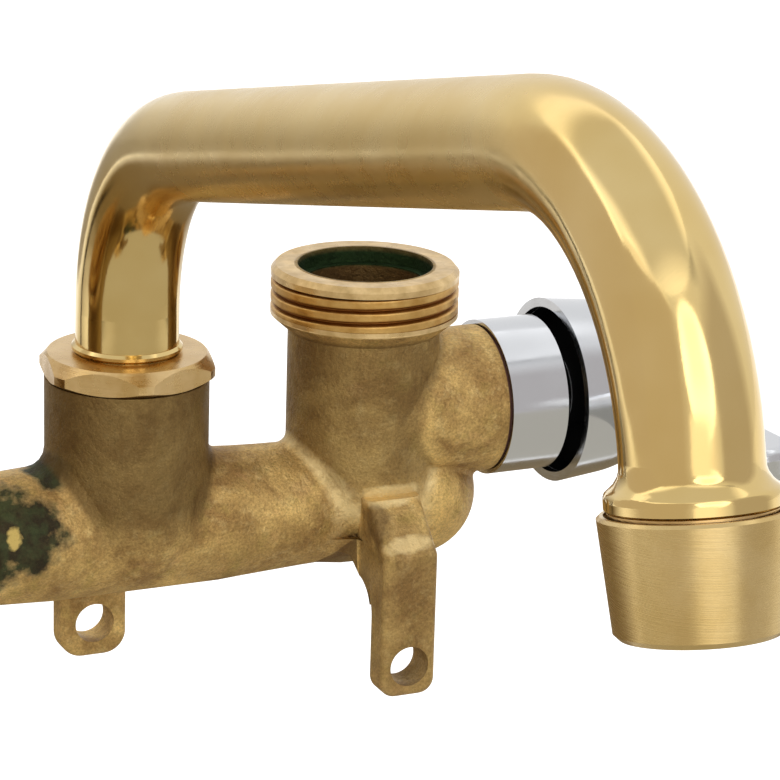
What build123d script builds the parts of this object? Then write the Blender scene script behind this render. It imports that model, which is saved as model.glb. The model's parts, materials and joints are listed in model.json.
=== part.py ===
from build123d import *
import os
from math import cos, radians, sin, tan

os.makedirs("parts", exist_ok=True)

# Two-handle utility sink faucet, in millimetres. X runs along the manifold, -Y is the front, +Z is up.
# Every piece is drawn about the spout's axis at the height of the manifold's axis, and is moved to
# the part's origin when it is saved. The origin is midway between the two leg holes, on the rear
# faces of the legs, where they clamp the tub's rim.

# Clearances and overruns
running_clearance = 0.06
fit_clearance = 0.04
face_clearance = 0.1
overrun = 2.0

# Where the working axes lie
inlet_centres = 85.7
leg_hole_drop = 23.4
leg_setback = 16.4
valve_rise = 15.5

# Manifold and its closed ends
manifold_radius = 11.4
manifold_end_radius = 10.1
manifold_taper_start = 15.0
manifold_bore = 5.6
dome_radius = 11.3
dome_setback = 12.6

# Spout post
post_radius = 13.7
post_top = 26.0
post_foot_rise = 3.0
post_blend = 3.5
nut_thread_radius = 11.4
seal_bore = 9.26
seal_bore_bottom = 4.0
post_throat = 5.4

# Inlet columns and their threaded rings
column_radius = 12.95
column_foot_rise = 2.6
column_blend = 2.0
column_bore = 10.2
column_bore_floor = 8.0
column_floor_round = 3.0
ring_radius = 16.0
ring_top = 41.4
ring_rim_radius = 15.2
ring_rim_chamfer = 0.9
ring_height = 8.5
ring_foot_taper = 2.7
thread_root_radius = 15.0
thread_top_land = 1.9
thread_bottom_land = 0.8
washer_seat_radius = 11.5
washer_seat_depth = 2.8

# Valve bodies
valve_radius = 12.75
valve_blend = 1.0
valve_length = 22.15
valve_chamber = 9.05
chamber_depth = 10.0
seat_hole = 4.6
cartridge_thread_radius = 10.4
cartridge_thread_length = 3.5
outlet_drill = 3.2

# Front legs and rear lug
leg_width = 10.0
leg_thickness = 6.1
leg_hole_margin = 5.5
leg_corner = 2.8
leg_edge_round = 1.3
leg_top_rise = 4.0
leg_top_reach = 14.7
leg_shoulder_drop = 3.7
leg_arm_drop = 10.2
leg_root_reach = 4.0
leg_inner_round = 5.6
leg_flare = 4.6
leg_flare_front = 15.8
flare_inset = 0.3
leg_hole = 3.5
lug_width = 12.0
lug_front = 15.0
lug_thickness = 5.6
lug_hole_margin = 6.2
lug_corner = 4.0
lug_top_reach = 12.0

# Swivel nut
nut_flats = 27.0
nut_corner_radius = 14.9
nut_land_setback = 0.3
nut_height = 4.3
nut_top_chamfer = 1.9
nut_base_chamfer = 1.0
nut_turn = 22.0
nut_shank = 7.0
thrust_washer_thickness = 1.0
thrust_washer_gap = 0.3

# Spout tube
tube_radius = 8.6
tube_wall = 1.1
base_straight = 5.6
run_length = 183.5
run_slope = 13.0
tip_lean = 12.0
first_bend = 34.2
second_bend = 36.1
bead_radius = 9.2
bead_height = 1.5
bead_round = 0.5

# Flared end of the spout, measured along the tip's axis
flare_growth = 2.0
flare_lip = 5.8
flare_radius_shares = (0.075, 0.65)
flare_length_shares = (0.28, 0.55, 0.76)
flare_lip_chamfer = 0.35

# Swivel stub in the base of the spout
stub_foot_gap = 0.6
stub_bore = 6.0
stub_flange_gap = 0.5
stub_flange_thickness = 1.6
stub_spigot_height = 11.0
stub_chamfer = 0.6
spout_ring_section = 0.8
spout_ring_rises = (3.0, 7.6)
spout_groove_half = 0.95

# Outlet nozzle and aerator, measured along the tip's axis from the flare's lip
nozzle_insert = 2.0
nozzle_thread_setback = 0.6
nozzle_collar_step = 0.25
nozzle_collar = 0.7
nozzle_length = 6.0
nozzle_wall = 1.9
shell_top = 0.35
shell_height = 14.6
shell_overhang = 0.9
shell_taper = 1.25
shell_lip_gap = 0.4
shell_lip_depth = 1.2
shell_lip_round = 0.4
shell_wall = 0.75
shell_mouth_lip = 1.3
shell_mouth_thickness = 1.1
shell_foot_round = 0.7
aerator_washer_thickness = 1.6
aerator_washer_width = 2.1
insert_wall = 1.2
insert_floor = 1.2
insert_hole = 0.7
insert_hole_circle_share = 0.484
insert_hole_count = 8
flow_disc_thickness = 1.5
flow_hole = 0.55
flow_hole_circle_share = 0.568
flow_hole_count = 6
screen_thickness = 0.5
screen_hole = 0.9
screen_pitch_share = 0.253
screen_rows = 5

# Cartridge, measured outwards from the spout's axis
seal_side_gap = 0.1
seal_bore_radius = 4.6
seal_thickness = 2.0
cartridge_skirt_radius = 7.9
cartridge_skirt_gap = 0.6
disc_chamber = 7.0
disc_chamber_gap = 0.3
window_width = 7.0
window_height = 2.3
window_overlap = 0.5
gasket_thickness = 0.8
gasket_bore_gap = 0.1
hex_flats = 21.4
hex_height = 3.5
hex_chamfer = 0.6
barrel_radius = 7.2
barrel_length = 8.0
fixed_disc_side_gap = 0.05
fixed_disc_thickness = 2.4
moving_disc_side_gap = 0.3
moving_disc_thickness = 2.3
disc_web = 2.6
disc_window_inner = 1.5
disc_window_outer = 5.6
drive_slot_width = 2.4
drive_slot_depth = 1.1

# Stem, its ring and its clip
stem_bore = 4.2
stem_flange_side_gap = 0.4
stem_flange_thickness = 1.5
stem_groove_rise = 2.7
stem_groove_half = 0.7
stem_groove_radius = 3.0
clip_radius = 5.2
clip_thickness = 0.6
clip_seat_radius = 3.1
clip_gap = 4.4
spline_radius = 3.9
spline_length = 10.0
screw_radius = 1.9
screw_depth = 7.5
screw_head_radius = 3.4
screw_head_height = 2.3
screw_slot_width = 0.9
screw_slot_depth = 0.9

# Chrome sleeve over the bonnet
sleeve_radius = 13.5
sleeve_wall = 0.8
sleeve_start_gap = 0.35
sleeve_setback = 0.9
sleeve_side_gap = 0.3
sleeve_end_wall = 1.2
sleeve_round = 0.5

# Lever handle
hub_gap = 2.0
hub_radius = 16.2
hub_skirt_length = 7.6
hub_skirt_radius = 15.4
hub_shoulder_length = 14.8
hub_shoulder_radius = 13.0
hub_length = 17.1
hub_face_radius = 9.5
hub_wall = 0.8
hub_cavity_depth = 5.6
hub_boss_radius = 6.8
hub_boss_setback = 0.6
socket_end_gap = 0.2
screw_seat_web = 1.6
button_radius = 6.1
button_gap = 0.3
button_height = 3.9
button_round = 0.7
blade_root_start = 3.6
blade_root_width = 12.5
blade_lean = 5.4
blade_tip_width = 12.8
blade_tip_depth = 6.5
blade_reach = 52.0
blade_root_half = 5.2
blade_waist_half = 3.6
blade_waist_share = 0.58
blade_tip_half = 2.9
blade_round = 1.8

# Sizes worked out from those above
inlet_x = inlet_centres / 2
ring_mouth = ring_top - washer_seat_depth
ring_bottom = ring_top - ring_height
ring_foot = ring_bottom - ring_foot_taper
thread_top = ring_top - thread_top_land
thread_bottom = ring_bottom + thread_bottom_land
valve_mouth = inlet_x + valve_length
dome_centre = valve_mouth - dome_setback
chamber_start = valve_mouth - chamber_depth
cartridge_thread_start = valve_mouth - cartridge_thread_length
outlet_drill_place = chamber_start + outlet_drill
leg_foot = leg_hole_drop + leg_hole_margin
lug_foot = leg_hole_drop + lug_hole_margin
armpit_bow = leg_inner_round * (1 - cos(radians(45)))
nut_land_radius = nut_flats / 2 - nut_land_setback
nut_top = post_top + nut_height
nut_shank_bottom = post_top - nut_shank
washer_bottom = nut_shank_bottom - thrust_washer_thickness
tube_bottom = washer_bottom - face_clearance
stub_flange_bottom = tube_bottom - stub_flange_thickness
counterbore_floor = stub_flange_bottom - face_clearance
stub_bottom = seal_bore_bottom + stub_foot_gap
stub_radius = seal_bore - running_clearance
stub_flange_radius = nut_thread_radius - stub_flange_gap
spout_ring_heights = [stub_bottom + rise for rise in spout_ring_rises]
tube_bore = tube_radius - tube_wall
nut_bore = tube_radius + running_clearance
bead_bottom = nut_top + face_clearance
flare_radius = tube_radius + flare_growth
nozzle_thread_radius = flare_radius - nozzle_thread_setback
nozzle_collar_radius = nozzle_thread_radius + nozzle_collar_step
nozzle_seat_radius = flare_radius - tube_wall
nozzle_bore = nozzle_seat_radius - nozzle_wall
shell_lip_bore = nozzle_collar_radius + shell_lip_gap
shell_top_radius = flare_radius + shell_overhang
shell_bottom_radius = shell_top_radius - shell_taper
shell_cup_radius = shell_bottom_radius - shell_wall
shell_mouth_radius = shell_cup_radius - shell_mouth_lip
aerator_washer_bore = shell_cup_radius - aerator_washer_width
insert_hole_circle = insert_hole_circle_share * shell_cup_radius
flow_hole_circle = flow_hole_circle_share * shell_cup_radius
screen_pitch = screen_pitch_share * shell_cup_radius
gasket_bore = cartridge_thread_radius + gasket_bore_gap
gasket_radius = sleeve_radius - sleeve_wall - sleeve_side_gap
seal_radius = disc_chamber - seal_side_gap
fixed_disc_radius = disc_chamber - fixed_disc_side_gap
moving_disc_radius = disc_chamber - moving_disc_side_gap
stem_flange_radius = disc_chamber - stem_flange_side_gap
stem_radius = stem_bore - running_clearance
stem_ring_section = (stem_bore - stem_groove_radius) / 2 - fit_clearance
gasket_end = valve_mouth + gasket_thickness
hex_end = gasket_end + hex_height
seal_end = chamber_start + seal_thickness
fixed_disc_end = seal_end + fixed_disc_thickness
moving_disc_start = fixed_disc_end + running_clearance
moving_disc_end = moving_disc_start + moving_disc_thickness
stem_flange_start = moving_disc_end + fit_clearance
stem_flange_end = stem_flange_start + stem_flange_thickness
disc_chamber_end = stem_flange_end + disc_chamber_gap
window_start = fixed_disc_end - window_overlap
window_end = window_start + window_height
stem_groove_place = hex_end + stem_groove_rise
barrel_end = hex_end + barrel_length
clip_start = barrel_end + face_clearance
clip_end = clip_start + clip_thickness
spline_end = clip_end + spline_length
sleeve_start = valve_mouth + sleeve_start_gap
sleeve_end = barrel_end - sleeve_setback
hub_start = sleeve_end + hub_gap
hub_skirt_end = hub_start + hub_skirt_length
hub_shoulder_end = hub_start + hub_shoulder_length
hub_face = hub_start + hub_length
hub_cavity_radius = hub_skirt_radius - hub_wall
hub_cavity_end = hub_start + hub_cavity_depth
hub_boss_start = hub_start + hub_boss_setback
socket_end = spline_end + socket_end_gap
screw_start = spline_end - screw_depth
screw_seat = socket_end + screw_seat_web
button_start = screw_seat + screw_head_height + button_gap
blade_inner_root = hub_start + blade_root_start
blade_outer_root = blade_inner_root + blade_root_width
blade_inner_tip = blade_inner_root + blade_lean
blade_outer_tip = blade_inner_tip + blade_tip_width
blade_tip_start = blade_reach - blade_tip_depth
blade_waist_reach = blade_waist_share * blade_reach

# Directions of the spout's three straight stretches, and where its two knees lie
up = Vector(0, 0, 1)
out = Vector(0, -cos(radians(run_slope)), sin(radians(run_slope)))
down = Vector(0, -sin(radians(tip_lean)), -cos(radians(tip_lean)))
first_turn = 90 - run_slope
second_turn = 90 + run_slope - tip_lean
first_setback = first_bend * tan(radians(first_turn / 2))
second_setback = second_bend * tan(radians(second_turn / 2))
first_knee = up * (bead_bottom + bead_height + base_straight + first_setback)
second_knee = first_knee + out * run_length
tip_plane = Plane(origin=second_knee + down * second_setback, x_dir=(1, 0, 0), z_dir=down)
shell_start = flare_lip + shell_top
shell_end = shell_start + shell_height
nozzle_end = flare_lip + nozzle_length
insert_start = nozzle_end + aerator_washer_thickness
insert_end = shell_end - shell_mouth_thickness


def turned(*points):
    """Solid of revolution about Z, from its (radius, height) outline."""
    outline = Polyline(*[(radius, 0, height) for radius, height in points], close=True)
    return revolve(make_face(outline), Axis.Z)


def rod(radius, start, end):
    """Round bar about Z between two heights."""
    return Pos(0, 0, start) * Cylinder(radius, end - start, align=(Align.CENTER, Align.CENTER, Align.MIN))


def pipe(radius, bore, start, end):
    """Round sleeve about Z between two heights."""
    return rod(radius, start, end) - rod(bore, start - overrun, end + overrun)


def hexagon(flats, start, end):
    """Hexagonal bar about Z between two heights."""
    section = Pos(0, 0, start) * RegularPolygon(flats / 2, 6, major_radius=False)
    return extrude(section, end - start)


def rounded_ring(radius, bore, section_height):
    """Rubber ring of round section lying in a groove."""
    return Pos(0, 0, section_height) * Torus((radius + bore) / 2, (radius - bore) / 2)


def outward(side):
    """Places what is drawn along Z on the valve axis of the given side, pointing away from the spout."""
    return Pos(0, 0, valve_rise) * Rot(0, 90 * side, 0)


def along_x(side):
    """Places what is drawn along Z on the manifold's axis, pointing to the given side."""
    return Rot(0, 90 * side, 0)


def save(name, piece):
    """Moves a piece to the part's origin and writes it under its own name."""
    piece = Pos(0, leg_setback, leg_hole_drop) * piece
    piece.label = name
    export_step(piece, f"parts/{name}.step")


# Rough brass casting


def manifold():
    """Tube that joins the two inlets and tapers towards them."""
    tube = turned(
        (0, -inlet_x),
        (manifold_end_radius, -inlet_x),
        (manifold_radius, -manifold_taper_start),
        (manifold_radius, manifold_taper_start),
        (manifold_end_radius, inlet_x),
        (0, inlet_x),
    )
    return along_x(1) * tube


def rounded_post(radius, foot, top):
    """Upright cylinder whose foot ends in a ball inside the manifold."""
    return rod(radius, foot, top) + Pos(0, 0, foot) * Sphere(radius)


def manifold_end(side):
    """Domed end of the manifold, below the valve."""
    end = rod(dome_radius, inlet_x, dome_centre) + Pos(0, 0, dome_centre) * Sphere(dome_radius)
    return along_x(side) * end


def blend(body, radius, inside, outside):
    """Rounds the creases where cast walls meet, between two distances from the spout's plane."""
    creases = []
    for edge in body.edges().filter_by(GeomType.BSPLINE):
        if inside < abs(edge.center().X) < outside:
            creases.append(edge)
    return fillet(creases, radius)


def cast_walls():
    """Outer walls of the casting up to the threaded rings, with their blends."""
    body = manifold() + rounded_post(post_radius, post_foot_rise, post_top)
    body = blend(body, post_blend, -overrun, manifold_taper_start)
    for side in (-1, 1):
        body += Pos(side * inlet_x, 0, 0) * rounded_post(column_radius, column_foot_rise, ring_foot)
    body = blend(body, column_blend, manifold_taper_start + overrun, inlet_x)
    for side in (-1, 1):
        body += outward(side) * rod(valve_radius, inlet_x, valve_mouth)
        body += manifold_end(side)
    return blend(body, valve_blend, inlet_x, valve_mouth)


def threaded_ring(side):
    """Wider ring of an inlet; its thread zone is turned down to the root."""
    ring = turned(
        (0, ring_foot),
        (column_radius, ring_foot),
        (ring_radius, ring_bottom),
        (ring_radius, thread_bottom),
        (thread_root_radius, thread_bottom),
        (thread_root_radius, thread_top),
        (ring_radius, thread_top),
        (ring_radius, ring_top - ring_rim_chamfer),
        (ring_rim_radius, ring_top),
        (0, ring_top),
    )
    return Pos(side * inlet_x, 0, 0) * ring


def leg_profile(reach, thickness, foot, top_reach):
    """Side view of a leg and its arm, with a rounded inner corner."""
    front = -reach - thickness
    armpit_start = (0, -reach, -leg_arm_drop - leg_inner_round)
    armpit_middle = (0, -reach + armpit_bow, -leg_arm_drop - armpit_bow)
    armpit_end = (0, -reach + leg_inner_round, -leg_arm_drop)
    outline = [
        Polyline(
            armpit_end,
            (0, -leg_root_reach, -leg_arm_drop),
            (0, -leg_root_reach, leg_top_rise),
            (0, -top_reach, leg_top_rise),
            (0, front, -leg_shoulder_drop),
            (0, front, -foot),
            (0, -reach, -foot),
            armpit_start,
        ),
        ThreePointArc(armpit_start, armpit_middle, armpit_end),
    ]
    return make_face(outline)


def clamp_leg(width, reach, thickness, foot, top_reach, corner):
    """Leg that hangs in front of the manifold from a sloping arm, drawn with its hole along Y."""
    profile = leg_profile(reach, thickness, foot, top_reach)
    leg = extrude(profile, width / 2, dir=(1, 0, 0), both=True)
    foot_edges = leg.edges().filter_by(Axis.Y).group_by(Axis.Z)[0]
    leg = fillet(foot_edges, corner)
    rounded = [edge for edge in leg.edges() if edge.center().Y < -top_reach and edge.length > leg_edge_round]
    return fillet(rounded, leg_edge_round)


def leg_root():
    """Flare that spreads a leg's arm sideways into the underside of the casting."""
    half = leg_width / 2
    wide = half + leg_flare
    low = -leg_arm_drop - leg_flare
    bow = leg_flare * (1 - cos(radians(45)))
    outline = [
        Line((-half, 0, low), (half, 0, low)),
        ThreePointArc((half, 0, low), (half + bow, 0, -leg_arm_drop - bow), (wide, 0, -leg_arm_drop)),
        Line((wide, 0, -leg_arm_drop), (wide, 0, -leg_shoulder_drop)),
        Line((wide, 0, -leg_shoulder_drop), (-wide, 0, -leg_shoulder_drop)),
        Line((-wide, 0, -leg_shoulder_drop), (-wide, 0, -leg_arm_drop)),
        ThreePointArc((-wide, 0, -leg_arm_drop), (-half - bow, 0, -leg_arm_drop - bow), (-half, 0, low)),
    ]
    face = Pos(0, -leg_root_reach, 0) * make_face(outline)
    flare = extrude(face, leg_flare_front - leg_root_reach, dir=(0, -1, 0))
    profile = leg_profile(leg_setback - flare_inset, leg_thickness, leg_foot, leg_top_reach)
    flare &= extrude(profile, wide + overrun, dir=(1, 0, 0), both=True)
    flank = -leg_flare_front + leg_flare
    plan = [
        Line((-half, -leg_flare_front), (half, -leg_flare_front)),
        ThreePointArc((half, -leg_flare_front), (half + bow, flank - bow), (wide, flank)),
        Line((wide, flank), (wide, 0)),
        Line((wide, 0), (-wide, 0)),
        Line((-wide, 0), (-wide, flank)),
        ThreePointArc((-wide, flank), (-half - bow, flank - bow), (-half, -leg_flare_front)),
    ]
    return flare & extrude(make_face(plan), leg_hole_drop, both=True)


def casting_bores(side):
    """Waterways and seats of one half of the casting."""
    bores = along_x(side) * rod(manifold_bore, 0, outlet_drill_place)
    inlet = turned(
        (0, column_bore_floor),
        (column_bore - column_floor_round, column_bore_floor),
        (column_bore, column_bore_floor + column_floor_round),
        (column_bore, ring_mouth),
        (washer_seat_radius, ring_mouth),
        (washer_seat_radius, ring_top + overrun),
        (0, ring_top + overrun),
    )
    bores += Pos(side * inlet_x, 0, 0) * inlet
    seat = turned(
        (0, inlet_x),
        (seat_hole, inlet_x),
        (seat_hole, chamber_start),
        (valve_chamber, chamber_start),
        (valve_chamber, cartridge_thread_start),
        (cartridge_thread_radius + fit_clearance, cartridge_thread_start),
        (cartridge_thread_radius + fit_clearance, valve_mouth + overrun),
        (0, valve_mouth + overrun),
    )
    bores += outward(side) * seat
    bores += Pos(side * outlet_drill_place, 0, 0) * rod(outlet_drill, 0, valve_rise)
    return bores


def body_casting():
    """The one rough casting that carries everything else."""
    body = cast_walls()
    for side in (-1, 1):
        body += threaded_ring(side)
        leg = clamp_leg(leg_width, leg_setback, leg_thickness, leg_foot, leg_top_reach, leg_corner)
        body += Pos(side * inlet_x, 0, 0) * (leg + leg_root())
    lug = clamp_leg(lug_width, lug_front, lug_thickness, lug_foot, lug_top_reach, lug_corner)
    body += Rot(0, 0, 180) * lug
    body -= turned(
        (0, 0),
        (post_throat, 0),
        (post_throat, seal_bore_bottom),
        (seal_bore, seal_bore_bottom),
        (seal_bore, counterbore_floor),
        (nut_thread_radius + fit_clearance, counterbore_floor),
        (nut_thread_radius + fit_clearance, post_top + overrun),
        (0, post_top + overrun),
    )
    hole = Pos(0, 0, -leg_hole_drop) * Rot(90, 0, 0) * rod(leg_hole, 0, inlet_centres)
    for side in (-1, 1):
        body -= casting_bores(side)
        body -= Pos(side * inlet_x, 0, 0) * hole
    body -= Rot(0, 0, 180) * hole
    return body


# Swivel joint of the spout


def swivel_nut():
    """Hexagonal nut with cut corners and a threaded shank that holds the spout down."""
    head = Rot(0, 0, nut_turn) * hexagon(nut_flats, post_top, nut_top)
    head &= turned(
        (0, post_top),
        (nut_land_radius, post_top),
        (nut_corner_radius, post_top + nut_base_chamfer),
        (nut_corner_radius, nut_top - nut_top_chamfer),
        (nut_land_radius, nut_top),
        (0, nut_top),
    )
    nut = head + rod(nut_thread_radius, nut_shank_bottom, post_top)
    return nut - rod(nut_bore, nut_shank_bottom - overrun, nut_top + overrun)


def thrust_washer():
    """Plastic washer between the nut's shank and the stub's flange."""
    radius = nut_thread_radius - thrust_washer_gap
    bore = tube_radius + thrust_washer_gap
    return pipe(radius, bore, washer_bottom, nut_shank_bottom)


def swivel_stub():
    """Turned plug in the base of the spout, with its flange and two ring grooves."""
    stub = turned(
        (stub_bore, stub_bottom),
        (stub_radius - stub_chamfer, stub_bottom),
        (stub_radius, stub_bottom + stub_chamfer),
        (stub_radius, stub_flange_bottom),
        (stub_flange_radius, stub_flange_bottom),
        (stub_flange_radius, tube_bottom),
        (tube_bore - fit_clearance, tube_bottom),
        (tube_bore - fit_clearance, tube_bottom + stub_spigot_height),
        (stub_bore, tube_bottom + stub_spigot_height),
    )
    groove_radius = stub_radius - 2 * spout_ring_section - fit_clearance
    groove = pipe(seal_bore + overrun, groove_radius, -spout_groove_half, spout_groove_half)
    for height in spout_ring_heights:
        stub -= Pos(0, 0, height) * groove
    return stub


def spout_rings():
    """Two rubber rings in the stub's grooves."""
    bore = stub_radius - 2 * spout_ring_section
    rings = [rounded_ring(stub_radius, bore, height) for height in spout_ring_heights]
    return Compound(children=rings)


# Spout


def bent_tube():
    """Tube bent along the spout, from its base to the end of its second bend."""
    base = up * tube_bottom
    first_start = first_knee - up * first_setback
    first_end = first_knee + out * first_setback
    second_start = second_knee - out * second_setback
    second_end = second_knee + down * second_setback
    line = [
        Line(base, first_start),
        TangentArc(first_start, first_end, tangent=up),
        Line(first_end, second_start),
        TangentArc(second_start, second_end, tangent=out),
    ]
    section = Plane(origin=base, z_dir=up) * (Circle(tube_radius) - Circle(tube_bore))
    return sweep(section, path=Wire(line))


def flared_end():
    """Swaged end of the spout: a smooth shoulder that grows to a rounded bead."""
    neck_radius, rise_radius = [tube_radius + share * flare_growth for share in flare_radius_shares]
    neck, rise, full = [share * flare_lip for share in flare_length_shares]
    outline = [
        Line((tube_bore, 0, 0), (tube_radius, 0, 0)),
        Spline(
            (tube_radius, 0, 0),
            (neck_radius, 0, neck),
            (rise_radius, 0, rise),
            (flare_radius, 0, full),
            tangents=((0, 0, 1), (0, 0, 1)),
        ),
        Polyline(
            (flare_radius, 0, full),
            (flare_radius, 0, flare_lip - flare_lip_chamfer),
            (flare_radius - flare_lip_chamfer, 0, flare_lip),
            (nozzle_seat_radius, 0, flare_lip),
            (nozzle_seat_radius, 0, flare_lip - nozzle_insert),
            (tube_bore, 0, neck),
            (tube_bore, 0, 0),
        ),
    ]
    return tip_plane.location * revolve(make_face(outline), Axis.Z)


def spout_tube():
    """Bent tube with a bead at its base and a flared end."""
    bead_core = tube_radius - tube_wall / 2
    bead = turned(
        (bead_core, bead_bottom),
        (bead_radius - bead_round, bead_bottom),
        (bead_radius, bead_bottom + bead_round),
        (bead_radius, bead_bottom + bead_height - bead_round),
        (bead_radius - bead_round, bead_bottom + bead_height),
        (bead_core, bead_bottom + bead_height),
    )
    return bent_tube() + bead + flared_end()


# Outlet and aerator


def outlet_nozzle():
    """Threaded ring brazed into the flared end, which the aerator screws onto."""
    ring = turned(
        (nozzle_bore, flare_lip - nozzle_insert),
        (nozzle_seat_radius - fit_clearance, flare_lip - nozzle_insert),
        (nozzle_seat_radius - fit_clearance, flare_lip),
        (nozzle_collar_radius, flare_lip),
        (nozzle_collar_radius, flare_lip + nozzle_collar),
        (nozzle_thread_radius, flare_lip + nozzle_collar),
        (nozzle_thread_radius, nozzle_end),
        (nozzle_bore, nozzle_end),
    )
    return tip_plane.location * ring


def aerator_shell():
    """Tapered brass shell with a thin open lip and an inward foot that holds the insert."""
    shell = turned(
        (shell_lip_bore, shell_start),
        (shell_top_radius - shell_lip_round, shell_start),
        (shell_top_radius, shell_start + shell_lip_round),
        (shell_bottom_radius, shell_end - shell_foot_round),
        (shell_bottom_radius - shell_foot_round, shell_end),
        (shell_mouth_radius, shell_end),
        (shell_mouth_radius, insert_end),
        (shell_cup_radius, insert_end),
        (shell_cup_radius, nozzle_end),
        (nozzle_thread_radius + fit_clearance, nozzle_end),
        (nozzle_thread_radius + fit_clearance, shell_start + shell_lip_depth),
        (shell_lip_bore, shell_start + shell_lip_depth),
    )
    return tip_plane.location * shell


def aerator_washer():
    """Rubber washer squeezed between the nozzle and the insert."""
    washer = pipe(shell_cup_radius - fit_clearance, aerator_washer_bore, nozzle_end, insert_start)
    return tip_plane.location * washer


def aerator_insert():
    """Plastic cup with a ring of holes in its floor."""
    radius = shell_cup_radius - fit_clearance
    cup = rod(radius, insert_start, insert_end)
    cup -= rod(radius - insert_wall, insert_start - overrun, insert_start + flow_disc_thickness)
    floor_start = insert_start + flow_disc_thickness + insert_floor
    hole = rod(insert_hole, insert_start, insert_end)
    cup -= PolarLocations(insert_hole_circle, insert_hole_count) * hole
    cup -= rod(radius - 2 * insert_wall, floor_start, insert_end + overrun)
    return tip_plane.location * cup


def flow_disc():
    """Plastic disc that meters the flow, lying in the insert."""
    radius = shell_cup_radius - insert_wall - 2 * fit_clearance
    disc = rod(radius, insert_start, insert_start + flow_disc_thickness)
    hole = rod(flow_hole, insert_start - overrun, insert_end)
    disc -= PolarLocations(flow_hole_circle, flow_hole_count) * hole
    return tip_plane.location * disc


def aerator_screen():
    """Perforated metal disc across the insert's mouth."""
    radius = shell_cup_radius - 2 * insert_wall - 2 * fit_clearance
    screen = rod(radius, insert_end - screen_thickness, insert_end)
    hole = rod(screen_hole, insert_start, insert_end + overrun)
    screen -= GridLocations(screen_pitch, screen_pitch, screen_rows, screen_rows) * hole
    return tip_plane.location * screen


# Valve pieces, each drawn along Z and placed on the valve axis of its side


def seat_seal():
    """Rubber seal between the casting's seat and the fixed disc."""
    return pipe(seal_radius, seal_bore_radius, chamber_start, seal_end)


def cartridge_body():
    """Brass cartridge: skirt with side windows, thread, hexagonal head and barrel."""
    body = turned(
        (0, chamber_start + cartridge_skirt_gap),
        (cartridge_skirt_radius, chamber_start + cartridge_skirt_gap),
        (cartridge_skirt_radius, cartridge_thread_start),
        (cartridge_thread_radius, cartridge_thread_start),
        (cartridge_thread_radius, gasket_end),
        (barrel_radius, gasket_end),
        (barrel_radius, barrel_end),
        (0, barrel_end),
    )
    head = hexagon(hex_flats, gasket_end, hex_end)
    head &= turned(
        (0, gasket_end),
        (gasket_radius, gasket_end),
        (gasket_radius, hex_end - hex_chamfer),
        (gasket_radius - hex_chamfer, hex_end),
        (0, hex_end),
    )
    body += head
    body -= rod(disc_chamber, chamber_start - overrun, disc_chamber_end)
    body -= rod(stem_bore, chamber_start, barrel_end + overrun)
    height = window_end - window_start
    middle = (window_end + window_start) / 2
    return body - Pos(0, 0, middle) * Box(4 * disc_chamber, window_width, height)


def bonnet_gasket():
    """Fibre gasket between the cartridge's head and the casting's mouth."""
    return pipe(gasket_radius, gasket_bore, valve_mouth, gasket_end)


def quarter_window(start, end, outer):
    """Pair of opposite windows between two webs that cross a disc."""
    windows = pipe(outer, disc_window_inner, start, end)
    web = 2 * disc_web
    cross = Rot(0, 0, 45) * Box(4 * outer, 4 * outer, 4 * outer, align=(Align.MIN, Align.MIN, Align.CENTER))
    pair = Pos(0, 0, start) * (cross + Rot(0, 0, 180) * cross)
    slab = Pos(0, 0, start) * Box(web, 4 * outer, 4 * outer)
    return (windows & pair) - slab


def fixed_disc():
    """Ceramic disc that stays with the cartridge, with two windows."""
    disc = rod(fixed_disc_radius, seal_end, fixed_disc_end)
    return disc - quarter_window(seal_end - overrun, fixed_disc_end + overrun, disc_window_outer)


def moving_disc():
    """Ceramic disc that the stem turns, with two open windows and a drive slot."""
    disc = rod(moving_disc_radius, moving_disc_start, moving_disc_end)
    outer = disc_window_outer + overrun
    windows = quarter_window(moving_disc_start - overrun, moving_disc_end + overrun, outer)
    disc -= Rot(0, 0, 90) * windows
    slot = Box(2 * drive_slot_width + disc_web, drive_slot_width, 2 * drive_slot_depth)
    return disc - Pos(0, 0, moving_disc_end) * slot


def stem():
    """Brass stem: flange with a drive tongue, shaft with a ring groove, clip groove and splined end."""
    shaft = turned(
        (0, stem_flange_start),
        (stem_flange_radius, stem_flange_start),
        (stem_flange_radius, stem_flange_end),
        (stem_radius, stem_flange_end),
        (stem_radius, stem_groove_place - stem_groove_half),
        (stem_groove_radius, stem_groove_place - stem_groove_half),
        (stem_groove_radius, stem_groove_place + stem_groove_half),
        (stem_radius, stem_groove_place + stem_groove_half),
        (stem_radius, clip_start - fit_clearance),
        (clip_seat_radius, clip_start - fit_clearance),
        (clip_seat_radius, clip_end + fit_clearance),
        (spline_radius, clip_end + fit_clearance),
        (spline_radius, spline_end),
        (0, spline_end),
    )
    tongue_depth = drive_slot_depth - fit_clearance
    tongue = Box(
        2 * drive_slot_width,
        drive_slot_width - 2 * fit_clearance,
        tongue_depth,
        align=(Align.CENTER, Align.CENTER, Align.MAX),
    )
    shaft += Pos(0, 0, stem_flange_start) * tongue
    return shaft - rod(screw_radius + fit_clearance, screw_start - screw_radius, spline_end + overrun)


def stem_ring():
    """Rubber ring on the stem."""
    bore = stem_groove_radius + fit_clearance
    return rounded_ring(bore + 2 * stem_ring_section, bore, stem_groove_place)


def stem_clip():
    """Open spring clip that keeps the stem in the barrel."""
    clip = pipe(clip_radius, clip_seat_radius + fit_clearance, clip_start, clip_end)
    mouth = Box(2 * clip_radius, clip_gap, 4 * clip_thickness, align=(Align.MIN, Align.CENTER, Align.CENTER))
    return clip - Pos(0, 0, clip_start) * mouth


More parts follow.
